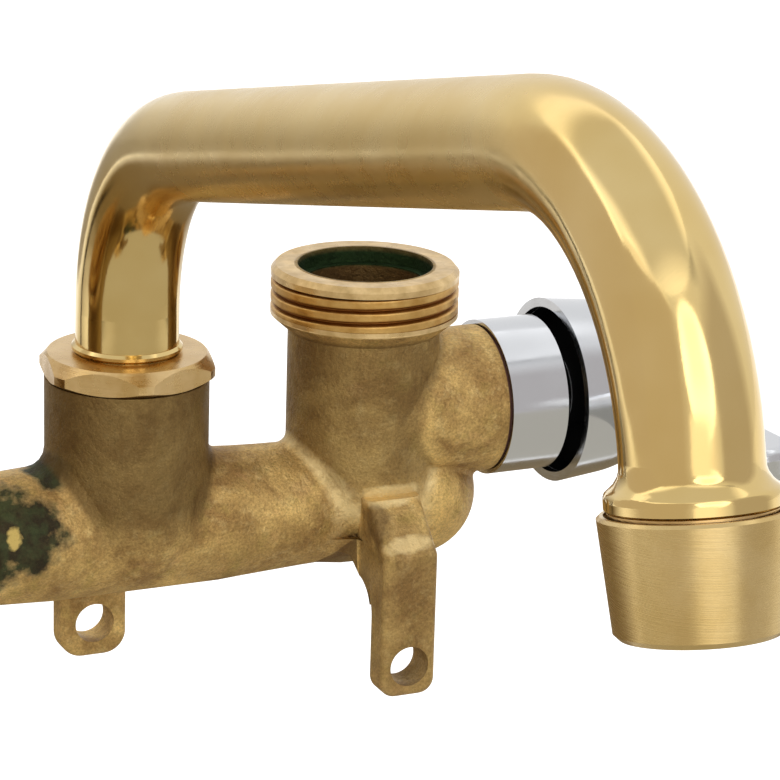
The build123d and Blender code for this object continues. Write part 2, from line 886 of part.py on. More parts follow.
def sleeve():
    """Chrome sleeve that hides the cartridge's head, screwed on at its outer end."""
    bore = sleeve_radius - sleeve_wall
    shell = turned(
        (bore, sleeve_start),
        (sleeve_radius, sleeve_start),
        (sleeve_radius, sleeve_end - sleeve_round),
        (sleeve_radius - sleeve_round, sleeve_end),
        (barrel_radius + fit_clearance, sleeve_end),
        (barrel_radius + fit_clearance, sleeve_end - sleeve_end_wall),
        (bore, sleeve_end - sleeve_end_wall),
    )
    return shell


def lever_hub():
    """Hollow bell that hides the stem, with its splined boss and the seat of the button."""
    shoulder = Spline(
        (hub_skirt_radius, 0, hub_skirt_end),
        (hub_shoulder_radius, 0, hub_shoulder_end),
        (hub_face_radius, 0, hub_face),
        tangents=((hub_skirt_radius - hub_radius, 0, hub_skirt_end - hub_start), (-1, 0, 0)),
    )
    outline = [
        Line((0, 0, hub_start), (hub_radius, 0, hub_start)),
        Line((hub_radius, 0, hub_start), (hub_skirt_radius, 0, hub_skirt_end)),
        shoulder,
        Line((hub_face_radius, 0, hub_face), (0, 0, hub_face)),
        Line((0, 0, hub_face), (0, 0, hub_start)),
    ]
    return revolve(make_face(outline), Axis.Z)


def lever_blade():
    """Flat blade that runs forward and slightly outward to a round end."""
    plan = [
        Line((blade_inner_root, 0), (blade_inner_tip, -blade_tip_start)),
        ThreePointArc(
            (blade_inner_tip, -blade_tip_start),
            ((blade_inner_tip + blade_outer_tip) / 2, -blade_reach),
            (blade_outer_tip, -blade_tip_start),
        ),
        Line((blade_outer_tip, -blade_tip_start), (blade_outer_root, 0)),
        Line((blade_outer_root, 0), (blade_inner_root, 0)),
    ]
    slab = extrude(make_face(plan), blade_root_half + overrun, both=True)
    edge = Spline(
        (0, 0, blade_root_half),
        (0, -blade_waist_reach, blade_waist_half),
        (0, -blade_reach - overrun, blade_tip_half),
    )
    mirrored = mirror(edge, Plane.XY)
    section = make_face([
        edge,
        Line(edge @ 1, mirrored @ 1),
        mirrored,
        Line(mirrored @ 0, edge @ 0),
    ])
    blade = slab & extrude(section, blade_outer_tip + overrun, dir=(1, 0, 0))
    long_edges = [item for item in blade.edges() if item.center().Y < -hub_boss_radius]
    blade = fillet(long_edges, blade_round)
    return Rot(0, -90, 0) * blade


def lever():
    """Lever handle: hub, blade, splined socket, screw hole and button seat."""
    handle = lever_hub() + lever_blade()
    cavity = pipe(hub_cavity_radius, hub_boss_radius, hub_start - overrun, hub_cavity_end)
    handle -= cavity
    handle -= rod(hub_boss_radius + overrun, hub_start - overrun, hub_boss_start)
    handle -= rod(spline_radius + fit_clearance, hub_start - overrun, socket_end)
    handle -= rod(screw_radius + 2 * fit_clearance, hub_start, hub_face)
    return handle - rod(button_radius + fit_clearance, screw_seat, hub_face + overrun)


def handle_screw():
    """Slotted screw that holds the lever on the stem."""
    screw = rod(screw_radius, screw_start, screw_seat)
    screw += rod(screw_head_radius, screw_seat, screw_seat + screw_head_height)
    slot = Box(2 * screw_head_radius + overrun, screw_slot_width, 2 * screw_slot_depth)
    return screw - Pos(0, 0, screw_seat + screw_head_height) * slot


def index_button():
    """Low button that closes the hub and shows the side by its colour."""
    button = rod(button_radius, button_start, button_start + button_height)
    return fillet(button.edges().group_by(Axis.Z)[-1], button_round)


save("body_casting", body_casting())
save("swivel_nut", swivel_nut())
save("thrust_washer", thrust_washer())
save("swivel_stub", swivel_stub())
save("spout_rings", spout_rings())
save("spout_tube", spout_tube())
save("outlet_nozzle", outlet_nozzle())
save("aerator_shell", aerator_shell())
save("aerator_washer", aerator_washer())
save("aerator_insert", aerator_insert())
save("flow_disc", flow_disc())
save("aerator_screen", aerator_screen())

for side_name, side in (("hot", -1), ("cold", 1)):
    place = outward(side)
    save(f"{side_name}_seat_seal", place * seat_seal())
    save(f"{side_name}_cartridge_body", place * cartridge_body())
    save(f"{side_name}_bonnet_gasket", place * bonnet_gasket())
    save(f"{side_name}_fixed_disc", place * fixed_disc())
    save(f"{side_name}_moving_disc", place * moving_disc())
    save(f"{side_name}_stem", place * stem())
    save(f"{side_name}_stem_ring", place * stem_ring())
    save(f"{side_name}_stem_clip", place * stem_clip())
    save(f"{side_name}_sleeve", place * sleeve())
    save(f"{side_name}_lever", place * lever())
    save(f"{side_name}_handle_screw", place * handle_screw())
    save(f"{side_name}_index_button", place * index_button())
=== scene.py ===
import json
from math import copysign, cos, pi, radians, sin, tan, tau

import bpy
from mathutils import Matrix, Vector

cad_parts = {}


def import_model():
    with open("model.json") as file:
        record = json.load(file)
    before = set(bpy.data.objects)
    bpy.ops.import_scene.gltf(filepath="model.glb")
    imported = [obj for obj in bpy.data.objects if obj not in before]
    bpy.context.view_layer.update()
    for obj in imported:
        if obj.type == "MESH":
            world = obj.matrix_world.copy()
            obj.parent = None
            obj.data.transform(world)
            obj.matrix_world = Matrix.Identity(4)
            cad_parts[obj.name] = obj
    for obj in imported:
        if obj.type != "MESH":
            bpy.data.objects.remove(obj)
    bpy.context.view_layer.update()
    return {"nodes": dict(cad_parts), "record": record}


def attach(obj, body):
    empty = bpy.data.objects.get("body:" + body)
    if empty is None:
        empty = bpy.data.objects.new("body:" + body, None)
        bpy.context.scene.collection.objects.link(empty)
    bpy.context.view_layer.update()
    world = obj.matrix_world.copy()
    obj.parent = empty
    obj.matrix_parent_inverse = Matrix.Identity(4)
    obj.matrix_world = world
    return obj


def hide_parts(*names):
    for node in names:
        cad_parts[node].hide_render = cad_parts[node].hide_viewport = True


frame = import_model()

nodes = frame["nodes"]

# Places and sizes in the frame, in metres
manifold_axis = Vector((0, 0.0164, 0.0234))
inlet_x = 0.04285
inlets = (-inlet_x, inlet_x)
valve_axis = manifold_axis + Vector((0, 0, 0.0155))
ring_top = manifold_axis.z + 0.0414
turned_height = 0.0088
thread_top = manifold_axis.z + 0.0395
thread_bottom = manifold_axis.z + 0.0337
thread_root = 0.01502
thread_crest = 0.01598
washer_seat_radius = 0.0115
washer_seat_depth = 0.0029
hub_cavity_radius = 0.0150
hub_cavity_start = 0.0798
hub_cavity_end = 0.0848
spout_end = Vector((0, -0.17, 0.11))


# Small helpers for objects and node trees


def new_object(name, data):
    """An object in the scene for a mesh, lamp or camera."""
    made = bpy.data.objects.new(name, data)
    bpy.context.scene.collection.objects.link(made)
    return made


class Finish:
    """A material whose nodes feed one metal or plastic shader."""

    def __init__(self, name, colour, metallic, roughness):
        self.material = bpy.data.materials.new(name)
        self.material.use_nodes = True
        self.tree = self.material.node_tree
        self.tree.nodes.clear()
        self.shader = self.node("BsdfPrincipled")
        self.shader.inputs["Base Color"].default_value = (*colour, 1)
        self.shader.inputs["Metallic"].default_value = metallic
        self.shader.inputs["Roughness"].default_value = roughness
        self.output = self.node("OutputMaterial")
        self.link(self.shader.outputs[0], self.output.inputs["Surface"])
        self.place = self.node("TexCoord").outputs["Object"]

    def node(self, kind, **settings):
        """A new shader node with some of its settings."""
        made = self.tree.nodes.new("ShaderNode" + kind)
        for key, value in settings.items():
            setattr(made, key, value)
        return made

    def link(self, source, target):
        """Joins an output to an input."""
        self.tree.links.new(source, target)

    def feed(self, socket, value):
        """Links an output to a socket, or sets the socket to a plain value."""
        if isinstance(value, bpy.types.NodeSocket):
            self.link(value, socket)
        elif isinstance(value, (tuple, list)) and len(value) == 3 and socket.type == "RGBA":
            socket.default_value = (*value, 1)
        else:
            socket.default_value = value

    def stretched(self, scale, rotation=(0, 0, 0)):
        """Object coordinates turned and scaled, for streaks."""
        mapping = self.node("Mapping")
        self.link(self.place, mapping.inputs["Vector"])
        mapping.inputs["Scale"].default_value = scale
        mapping.inputs["Rotation"].default_value = rotation
        return mapping.outputs[0]

    def noise(self, size, detail=4.0, roughness=0.55, distortion=0.0, vector=None):
        """Noise whose patches are about the given size in metres."""
        made = self.node("TexNoise")
        self.feed(made.inputs["Vector"], vector or self.place)
        made.inputs["Scale"].default_value = 1 / size
        made.inputs["Detail"].default_value = detail
        made.inputs["Roughness"].default_value = roughness
        made.inputs["Distortion"].default_value = distortion
        return made.outputs["Fac"]

    def ramp(self, value, low, high, start=0.0, end=1.0):
        """Maps low..high to start..end, held at both ends."""
        made = self.node("MapRange")
        made.inputs["From Min"].default_value = low
        made.inputs["From Max"].default_value = high
        made.inputs["To Min"].default_value = start
        made.inputs["To Max"].default_value = end
        self.feed(made.inputs["Value"], value)
        return made.outputs[0]

    def math(self, operation, first, second=0.0):
        """One step of arithmetic."""
        made = self.node("Math", operation=operation)
        self.feed(made.inputs[0], first)
        self.feed(made.inputs[1], second)
        return made.outputs[0]

    def mix(self, share, first, second, blend="MIX"):
        """Blends the second colour over the first by a share."""
        made = self.node("Mix", data_type="RGBA", blend_type=blend)
        self.feed(made.inputs["Factor"], share)
        self.feed(made.inputs["A"], first)
        self.feed(made.inputs["B"], second)
        return made.outputs["Result"]

    def near(self, centre, radii, ragged, size=0.004):
        """1 inside an ellipsoid and 0 outside, with a soft and ragged edge."""
        clear, full = 1.15, 0.75
        shifted = self.node("VectorMath", operation="SUBTRACT")
        self.link(self.place, shifted.inputs[0])
        shifted.inputs[1].default_value = centre
        scaled = self.node("VectorMath", operation="DIVIDE")
        self.link(shifted.outputs[0], scaled.inputs[0])
        scaled.inputs[1].default_value = radii
        length = self.node("VectorMath", operation="LENGTH")
        self.link(scaled.outputs[0], length.inputs[0])
        wobble = self.ramp(self.noise(size), 0.3, 0.7, -ragged, ragged)
        return self.ramp(self.math("ADD", length.outputs["Value"], wobble), clear, full)

    def off_axis(self, point, direction):
        """Distance from an upright axis ("Z") or one along the manifold ("X")."""
        shifted = self.node("VectorMath", operation="SUBTRACT")
        self.link(self.place, shifted.inputs[0])
        shifted.inputs[1].default_value = point
        flat = self.node("VectorMath", operation="MULTIPLY")
        self.link(shifted.outputs[0], flat.inputs[0])
        flat.inputs[1].default_value = (1, 1, 0) if direction == "Z" else (0, 1, 1)
        length = self.node("VectorMath", operation="LENGTH")
        self.link(flat.outputs[0], length.inputs[0])
        return length.outputs["Value"]

    def off_upright(self, x):
        """Distance from the upright axis of the post or an inlet."""
        return self.off_axis((x, manifold_axis.y, 0), "Z")

    def off_inlets(self):
        """Distance from the nearer inlet's axis."""
        return self.math("MINIMUM", *(self.off_upright(x) for x in inlets))

    def all_of(self, *masks):
        """Product of several masks."""
        result = masks[0]
        for mask in masks[1:]:
            result = self.math("MULTIPLY", result, mask)
        return result

    def coordinate(self, axis):
        """One of the object coordinates."""
        apart = self.node("SeparateXYZ")
        self.link(self.place, apart.inputs[0])
        return apart.outputs[axis]

    def grey(self, value):
        """A grey colour from one value."""
        made = self.node("CombineColor")
        for socket in made.inputs[:3]:
            self.link(value, socket)
        return made.outputs[0]

    def two_tone(self, size, first, second):
        """Soft patches of two colours."""
        return self.mix(self.ramp(self.noise(size, 4, 0.6), 0.35, 0.7), first, second)

    def bump(self, height, depth, normal=None):
        """Bump of the given depth in metres."""
        made = self.node("Bump")
        made.inputs["Strength"].default_value = 1.0
        made.inputs["Distance"].default_value = depth
        self.feed(made.inputs["Height"], height)
        if normal:
            self.link(normal, made.inputs["Normal"])
        return made.outputs["Normal"]

    def finish(self, colour, normal, roughness=None):
        """Feeds the shader and gives the material."""
        self.link(colour, self.shader.inputs["Base Color"])
        self.link(normal, self.shader.inputs["Normal"])
        if roughness:
            self.link(roughness, self.shader.inputs["Roughness"])
        return self.material


# Materials


def cast_colour(f):
    """Mottled brown of the cast skin, with a fine speckle."""
    # Each layer: colour; patch size, detail, roughness and distortion; noise that starts and fills it; share
    layers = (
        ((0.74, 0.51, 0.185), (0.011, 5, 0.6, 0.6), (0.38, 0.66), 1.0),
        ((0.42, 0.305, 0.085), (0.0045, 4, 0.6, 0.0), (0.55, 0.75), 0.6),
        ((0.64, 0.385, 0.17), (0.0062, 3, 0.5, 0.3), (0.60, 0.78), 0.45),
        ((0.90, 0.70, 0.32), (0.0028, 6, 0.7, 0.0), (0.52, 0.72), 0.35),
    )
    colour = (0.34, 0.20, 0.066)
    for layer, pattern, (start, full), share in layers:
        colour = f.mix(f.ramp(f.noise(*pattern), start, full, 0, share), colour, layer)
    speckle = f.ramp(f.noise(0.00045, 3, 0.7), 0.36, 0.62, 0.74, 1.12)
    return f.mix(1.0, colour, f.grey(speckle), "MULTIPLY")


def stained(f, colour):
    """Dark green stain beside the post, with one bare spot, and dull where it lies."""
    patch = f.near(manifold_axis + Vector((-0.0238, -0.008, 0.0035)), (0.0088, 0.010, 0.0080), 0.35)
    fillet = f.near(manifold_axis + Vector((-0.0150, -0.002, 0.0120)), (0.0032, 0.009, 0.0030), 0.3)
    spot = f.near(manifold_axis + Vector((-0.0232, -0.0115, 0.0035)), (0.0013, 0.004, 0.0019), 0.2, 0.001)
    stain = f.math("MAXIMUM", patch, fillet)
    green = f.mix(f.ramp(f.noise(0.003, 4), 0.42, 0.62), (0.007, 0.008, 0.005), (0.022, 0.040, 0.015))
    f.link(f.ramp(stain, 0, 1, 0.82, 0.2), f.shader.inputs["Metallic"])
    f.link(f.ramp(stain, 0, 1, 0.5, 0.12), f.shader.inputs["Specular IOR Level"])
    colour = f.mix(f.ramp(stain, 0, 1, 0, 0.94), colour, green)
    return f.mix(spot, colour, (0.55, 0.40, 0.12))


def painted_shade_on_uprights(f, colour, height):
    """Painted shade: darker post and columns, fading out over a short drop towards the manifold."""
    fade_out, fade_down = 0.0008, 0.008
    # Place along X, radius, height above the manifold's axis where it is full, share
    uprights = [(0, 0.0142, 0.006, 0.74)] + [(x, 0.0134, 0.008, 0.54) for x in inlets]
    for x, radius, foot, share in uprights:
        full_height = manifold_axis.z + foot
        near_axis = f.ramp(f.off_upright(x), radius + fade_out, radius)
        upright = f.all_of(near_axis, f.ramp(height, full_height - fade_down, full_height))
        colour = f.mix(f.math("MULTIPLY", upright, share), colour, (0.13, 0.078, 0.024))
    return colour


def worn_and_painted_light(f, colour, height, x):
    """Browner leg below one inlet, pale wear at the crease above it, painted highlights along the leg arm's
    top edges, and painted shade in the corner where the leg arm meets the manifold.
    """
    leg_share, rubbed_and_highlit_share, painted_shade_share, ragged = 0.38, 0.6, 0.6, 0.3
    leg = f.all_of(f.ramp(f.off_axis((x, -0.001, 0), "Z"), 0.0080, 0.0070), f.ramp(height, 0.027, 0.022))
    colour = f.mix(f.math("MULTIPLY", leg, leg_share), colour, (0.16, 0.09, 0.032))
    off_column = f.off_upright(x)
    around_column = f.all_of(f.ramp(off_column, 0.0122, 0.0128), f.ramp(off_column, 0.0146, 0.0136))
    on_manifold = f.ramp(f.off_axis(manifold_axis, "X"), 0.0128, 0.0117)
    patchy = f.ramp(f.noise(0.003, 4), 0.35, 0.6, 0.35, 1)
    crease = f.all_of(around_column, on_manifold, f.ramp(height, 0.018, 0.024), patchy)
    # Painted highlights: pale marks along the leg arm's top edges, joined with the pale wear at the crease
    ledge = f.near((x, 0.0030, 0.0277), (0.0080, 0.0028, 0.0016), ragged)
    edge = f.near((x, -0.0043, 0.0212), (0.0044, 0.0022, 0.0015), ragged)
    rubbed_and_highlit = f.math("MAXIMUM", crease, f.math("MAXIMUM", ledge, edge))
    colour = f.mix(f.math("MULTIPLY", rubbed_and_highlit, rubbed_and_highlit_share), colour, (0.95, 0.75, 0.38))
    # Painted shade: a dark patch in the corner where the leg arm's inner flank meets the manifold
    towards_middle = copysign(0.0045, -x)
    corner = f.near((x + towards_middle, -0.0005, 0.0238), (0.0026, 0.0042, 0.0034), ragged)
    return f.mix(f.math("MULTIPLY", corner, painted_shade_share), colour, (0.11, 0.06, 0.022))


def inside_inlet(f, colour, height, x):
    """Green wall of one washer seat, and the brown waterway below it."""
    seat_floor = ring_top - washer_seat_depth
    soft_edge, waterway_share = 0.0005, 0.7
    bore = f.ramp(f.off_upright(x), washer_seat_radius + soft_edge / 2, washer_seat_radius)
    seat_wall = f.all_of(bore, f.ramp(height, ring_top + soft_edge, ring_top - 2 * soft_edge),
                         f.ramp(height, seat_floor - soft_edge, seat_floor))
    green = f.mix(f.noise(0.002), (0.012, 0.022, 0.008), (0.035, 0.075, 0.022))
    colour = f.mix(seat_wall, colour, green)
    waterway = f.all_of(bore, f.ramp(height, seat_floor, seat_floor - soft_edge))
    return f.mix(f.math("MULTIPLY", waterway, waterway_share), colour, (0.10, 0.045, 0.012))


def rough_brass():
    """Sand-cast brass: mottled brown, with painted shade on the post, the columns and the corners beside the
    leg arms, lighter wear at the creases with painted highlights on the leg arms, stained beside the post,
    turned bright at the rings.
    """
    f = Finish("rough_brass", (0.30, 0.19, 0.085), 0.82, 0.5)
    height = f.coordinate("Z")
    colour = painted_shade_on_uprights(f, stained(f, cast_colour(f)), height)
    for x in inlets:
        colour = inside_inlet(f, worn_and_painted_light(f, colour, height, x), height, x)
    ring_bottom = ring_top - turned_height
    beyond_post = f.ramp(f.off_upright(0), 0.0155, 0.0160)
    outside_seat = f.ramp(f.off_inlets(), washer_seat_radius + 0.0003, washer_seat_radius + 0.0006)
    machined = f.all_of(f.ramp(height, ring_bottom, ring_bottom + 0.0004), beyond_post, outside_seat)
    colour = f.mix(machined, colour, f.two_tone(0.003, (0.52, 0.35, 0.145), (0.76, 0.55, 0.27)))
    rough = f.math("SUBTRACT", 1.0, machined)
    grain = f.math("MULTIPLY", f.noise(0.00042, 5, 0.65), rough)
    pits = f.math("MULTIPLY", f.ramp(f.noise(0.0015, 4, 0.6), 0.30, 0.55), rough)
    waves = f.math("MULTIPLY", f.noise(0.007, 3), rough)
    normal = f.bump(grain, 0.00011, f.bump(pits, 0.00008, f.bump(waves, 0.0003)))
    turned_gloss = 0.18
    dull = f.ramp(f.noise(0.004, 4), 0.3, 0.7, 0.42, 0.62)
    roughness = f.math("SUBTRACT", dull, f.math("MULTIPLY", machined, turned_gloss))
    return f.finish(colour, normal, roughness)


def turned_brass():
    """Machined brass with fine tool lines and a little tarnish."""
    f = Finish("turned_brass", (0.80, 0.56, 0.28), 1.0, 0.26)
    colour = f.two_tone(0.006, (0.55, 0.36, 0.14), (0.72, 0.52, 0.26))
    lines = f.noise(0.0016, 3, 0.6, vector=f.stretched((0.15, 0.15, 6)))
    roughness = f.ramp(f.noise(0.003, 4), 0.3, 0.7, 0.22, 0.36)
    return f.finish(colour, f.bump(lines, 0.00003), roughness)


def thread_brass():
    """Cut threads: gold at the crests, darker in the grooves."""
    f = Finish("thread_brass", (0.50, 0.33, 0.13), 1.0, 0.34)
    crest = f.two_tone(0.003, (0.50, 0.28, 0.08), (0.68, 0.44, 0.155))
    out_of_groove = f.ramp(f.off_inlets(), thread_root + 0.00013, thread_crest - 0.00008)
    colour = f.mix(out_of_groove, (0.24, 0.10, 0.022), crest)
    roughness = f.ramp(f.noise(0.002, 4), 0.3, 0.7, 0.30, 0.48)
    return f.finish(colour, f.bump(f.noise(0.0008, 4), 0.00004), roughness)


def polished_brass():
    """Spout: satin along the run, buffed at the bends and the base."""
    f = Finish("polished_brass", (0.68, 0.50, 0.22), 1.0, 0.14)
    colour = f.mix(f.ramp(f.noise(0.02, 3, 0.5), 0.35, 0.7), (0.66, 0.475, 0.185), (0.73, 0.555, 0.255))
    along = f.coordinate("Y")
    above_base = f.ramp(f.coordinate("Z"), 0.078, 0.086)
    run = f.all_of(f.ramp(along, 0.004, -0.022), f.ramp(along, -0.150, -0.128), above_base)
    uneven = f.ramp(f.noise(0.004, 4), 0.3, 0.7, -0.02, 0.05)
    roughness = f.math("ADD", f.ramp(run, 0, 1, 0.10, 0.27), uneven)
    wobble = f.bump(f.noise(0.016, 2, 0.4), 0.00025)
    brushing = f.noise(0.0012, 3, 0.6, vector=f.stretched((1, 6, 1)))
    return f.finish(colour, f.bump(brushing, 0.000003, wobble), roughness)


def satin_brass():
    """Aerator shell with fine lines round it."""
    f = Finish("satin_brass", (0.62, 0.45, 0.19), 1.0, 0.24)
    colour = f.two_tone(0.008, (0.58, 0.41, 0.165), (0.67, 0.50, 0.235))
    spout_tilt = radians(-12)
    lines = f.noise(0.0012, 3, 0.7, vector=f.stretched((0.12, 0.12, 7), (spout_tilt, 0, 0)))
    roughness = f.ramp(lines, 0.3, 0.7, 0.21, 0.31)
    return f.finish(colour, f.bump(lines, 0.000014), roughness)


def chrome_plate():
    """Bright plating with faint wipe marks, and painted shade: black and unplated deep inside the hub's
    cavity.
    """
    f = Finish("chrome_plate", (0.62, 0.64, 0.66), 1.0, 0.07)
    outward = f.math("ABSOLUTE", f.coordinate("X"))
    within = f.ramp(f.off_axis(valve_axis, "X"), hub_cavity_radius + 0.0002, hub_cavity_radius)
    before_end = f.ramp(outward, hub_cavity_end + 0.0004, hub_cavity_end)
    shaded_hollow = f.all_of(within, before_end, f.ramp(outward, hub_cavity_start, hub_cavity_start + 0.0003))
    f.link(f.math("SUBTRACT", 1.0, shaded_hollow), f.shader.inputs["Metallic"])
    f.link(f.ramp(shaded_hollow, 0, 1, 0.5, 0), f.shader.inputs["Specular IOR Level"])
    # Painted shade: near-black colour deep inside the hub's cavity
    colour = f.mix(shaded_hollow, (0.62, 0.63, 0.65), (0.008, 0.008, 0.008))
    wiped = f.ramp(f.noise(0.006, 5, 0.6), 0.35, 0.7, 0.11, 0.20)
    roughness = f.math("MAXIMUM", wiped, shaded_hollow)
    return f.finish(colour, f.bump(f.noise(0.02, 2), 0.00008), roughness)


def plain(name, colour, metallic, roughness, size, depth):
    """Hidden or small pieces: a little colour variation and a fine grain."""
    darkening, patches = 0.8, 4
    f = Finish(name, colour, metallic, roughness)
    darker = tuple(darkening * channel for channel in colour)
    shade = f.mix(f.ramp(f.noise(patches * size), 0.35, 0.65), darker, colour)
    return f.finish(shade, f.bump(f.noise(size, 4), depth))


finishes = {
    "rough_brass": rough_brass(),
    "turned_brass": turned_brass(),
    "thread_brass": thread_brass(),
    "polished_brass": polished_brass(),
    "satin_brass": satin_brass(),
    "chrome_plate": chrome_plate(),
}
# Each plain finish: colour, metallic, roughness, size and depth of its grain in metres
plain_finishes = {
    "black_rubber": ((0.02, 0.02, 0.02), 0.0, 0.6, 0.0006, 0.00004),
    "white_plastic": ((0.78, 0.78, 0.74), 0.0, 0.4, 0.001, 0.00002),
    "fibre_gasket": ((0.13, 0.05, 0.03), 0.0, 0.8, 0.0005, 0.00006),
    "white_ceramic": ((0.85, 0.84, 0.80), 0.0, 0.2, 0.001, 0.00001),
    "spring_steel": ((0.42, 0.42, 0.44), 1.0, 0.3, 0.0006, 0.00001),
    "stainless_screw": ((0.60, 0.60, 0.61), 1.0, 0.3, 0.0006, 0.00001),
    "stainless_mesh": ((0.55, 0.55, 0.56), 1.0, 0.35, 0.0005, 0.00002),
    "red_plastic": ((0.50, 0.02, 0.02), 0.0, 0.25, 0.001, 0.00001),
    "blue_plastic": ((0.02, 0.08, 0.45), 0.0, 0.25, 0.001, 0.00001),
}
for name, values in plain_finishes.items():
    finishes[name] = plain(name, *values)

for subpart in frame["record"]["subparts"]:
    mesh = nodes[subpart["node"]].data
    mesh.materials.clear()
    mesh.materials.append(finishes[subpart["material_slot"]])


# Pieces that the solids leave out


def thread_ridges(name, x):
    """Helical ridges of an inlet's thread, over the turned-down zone of its ring."""
    hidden_radius = 0.0146
    pitch = 0.0022
    steepness = 3.8
    around, rows = 144, 44
    points, faces = [], []

    def ridge_radius(z, column):
        phase = ((z - thread_bottom) / pitch - column / around) % 1
        ridge = max(0.0, min(1.0, steepness * (0.5 - abs(phase - 0.5))))
        return thread_root + (thread_crest - thread_root) * ridge * ridge * (3 - 2 * ridge)

    def add_loop(z, radii):
        for column, radius in enumerate(radii):
            angle = tau * column / around
            points.append((x + radius * cos(angle), manifold_axis.y + radius * sin(angle), z))

    for row in range(rows + 1):
        z = thread_bottom + row / rows * (thread_top - thread_bottom)
        add_loop(z, [ridge_radius(z, column) for column in range(around)])
    for z in (thread_top, thread_bottom):
        add_loop(z, [hidden_radius] * around)
    loops = rows + 3
    for loop in range(loops):
        this, above = loop * around, (loop + 1) % loops * around
        for column in range(around):
            beside = (column + 1) % around
            faces.append((this + column, this + beside, above + beside, above + column))
    mesh = bpy.data.meshes.new(name)
    mesh.from_pydata(points, [], faces)
    mesh.update()
    mesh.shade_smooth()
    mesh.materials.append(finishes["thread_brass"])
    piece = new_object(name, mesh)
    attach(piece, "faucet_body")


thread_ridges("hot_inlet_ridges", -inlet_x)
thread_ridges("cold_inlet_ridges", inlet_x)


def rounded_place(mesh, index):
    """A vertex's place, equal for vertices that meet."""
    return tuple(round(part, 5) for part in mesh.vertices[index].co)


def draw_in_flares(mesh):
    """Draws each leg's flare in to a web beside the arm, and gives the vertices that moved."""
    # Distances from the leg's middle, the flare's reach from the manifold's axis, and the skins it ends on
    arm_side, sunk_side, flare_face, flare_side = 0.0050, 0.0047, 0.0094, 0.0099
    flare_front, flare_low, flare_high = -0.0163, -0.0153, -0.0036
    valve_skin, manifold_skin, touching, web_rise = 0.0113, 0.01055, 0.0001, 0.0006
    drawn = set()
    for vertex in mesh.vertices:
        aside = abs(vertex.co.x) - inlet_x
        ahead, up = vertex.co.y - manifold_axis.y, vertex.co.z - manifold_axis.z
        from_axis = (ahead * ahead + up * up) ** 0.5
        skin = valve_skin if aside > 0 else manifold_skin
        beside_arm = arm_side < abs(aside) < flare_side
        below_front = flare_front < ahead < 0 and flare_low < up < flare_high
        if not (beside_arm and below_front and from_axis > skin + touching):
            continue
        outermost = abs(aside) > flare_face
        kept = arm_side if outermost else sunk_side
        vertex.co.x = copysign(inlet_x + copysign(kept, aside), vertex.co.x)
        if outermost:
            closer = (skin + web_rise) / from_axis
            vertex.co.y = manifold_axis.y + closer * ahead
            vertex.co.z = manifold_axis.z + closer * up
        drawn.add(vertex.index)
    mesh.update()
    return drawn


def thin_leg_roots():
    """The casting with thinner leg roots, shaded smoothly where they changed."""
    mesh = nodes["body_casting"].data.copy()
    mesh.name = "cast_body"
    normals = [corner.vector.copy() for corner in mesh.corner_normals]
    drawn = draw_in_flares(mesh)
    changed = [face for face in mesh.polygons if drawn.intersection(face.vertices)]
    sums = {}
    for face in changed:
        for index in face.vertices:
            place = rounded_place(mesh, index)
            sums[place] = sums.get(place, Vector()) + face.normal * face.area
    for face in changed:
        for loop in face.loop_indices:
            total = sums[rounded_place(mesh, mesh.loops[loop].vertex_index)]
            normals[loop] = total.normalized() if total.length else face.normal
    mesh.normals_split_custom_set(normals)
    piece = new_object("cast_body", mesh)
    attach(piece, "faucet_body")
    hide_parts("body_casting")


thin_leg_roots()


# Studio: a pale floor, soft lamps, and cards that only reflections show

floor_level = -0.20
low_level = floor_level + 0.005


def camera():
    """The photograph's viewpoint."""
    viewpoint = (-0.19454, -0.50382, 0.22000)
    yaw, pitch, roll = radians(25.01), radians(17.24), radians(1.73)
    data = bpy.data.cameras.new("camera")
    data.sensor_width = 36
    data.lens = 161.4
    data.clip_start = 0.01
    made = new_object("camera", data)
    aim = Matrix.Rotation(-yaw, 4, "Z") @ Matrix.Rotation(pi / 2 - pitch, 4, "X")
    made.matrix_world = Matrix.Translation(viewpoint) @ (aim @ Matrix.Rotation(roll, 4, "Z"))
    bpy.context.scene.camera = made


def area_light(name, place, target, size, power):
    """A round lamp that faces a target."""
    data = bpy.data.lights.new(name, "AREA")
    data.shape = "DISK"
    data.size = size
    data.energy = power
    made = new_object(name, data)
    made.location = place
    made.rotation_euler = (Vector(target) - Vector(place)).to_track_quat("-Z", "Y").to_euler()


def card(name, corners, shade, softness):
    """A plane that only glossy rays see. Left, right, low and high edges fade over shares of its size."""
    left, right, low, high = softness
    mesh = bpy.data.meshes.new(name)
    mesh.from_pydata(corners, [], [(0, 1, 2, 3)])
    across_and_up = mesh.uv_layers.new(name="across_and_up")
    for loop, place in enumerate(((0, 0), (1, 0), (1, 1), (0, 1))):
        across_and_up.data[loop].uv = place
    made = new_object(name, mesh)
    f = Finish(name, (0, 0, 0), 0, 1)
    apart = f.node("SeparateXYZ")
    f.link(f.node("TexCoord").outputs["UV"], apart.inputs[0])
    across, up = apart.outputs["X"], apart.outputs["Y"]
    cover = f.all_of(f.ramp(across, 0, left), f.ramp(across, 1, 1 - right),
                     f.ramp(up, 0, low), f.ramp(up, 1, 1 - high))
    glow = f.node("Emission")
    glow.inputs["Color"].default_value = (*shade, 1)
    both = f.node("MixShader")
    f.link(cover, both.inputs[0])
    f.link(f.node("BsdfTransparent").outputs[0], both.inputs[1])
    f.link(glow.outputs[0], both.inputs[2])
    f.link(both.outputs[0], f.output.inputs["Surface"])
    mesh.materials.append(f.material)
    made.visible_camera = False
    made.visible_diffuse = False
    made.visible_shadow = False
    made.visible_transmission = False


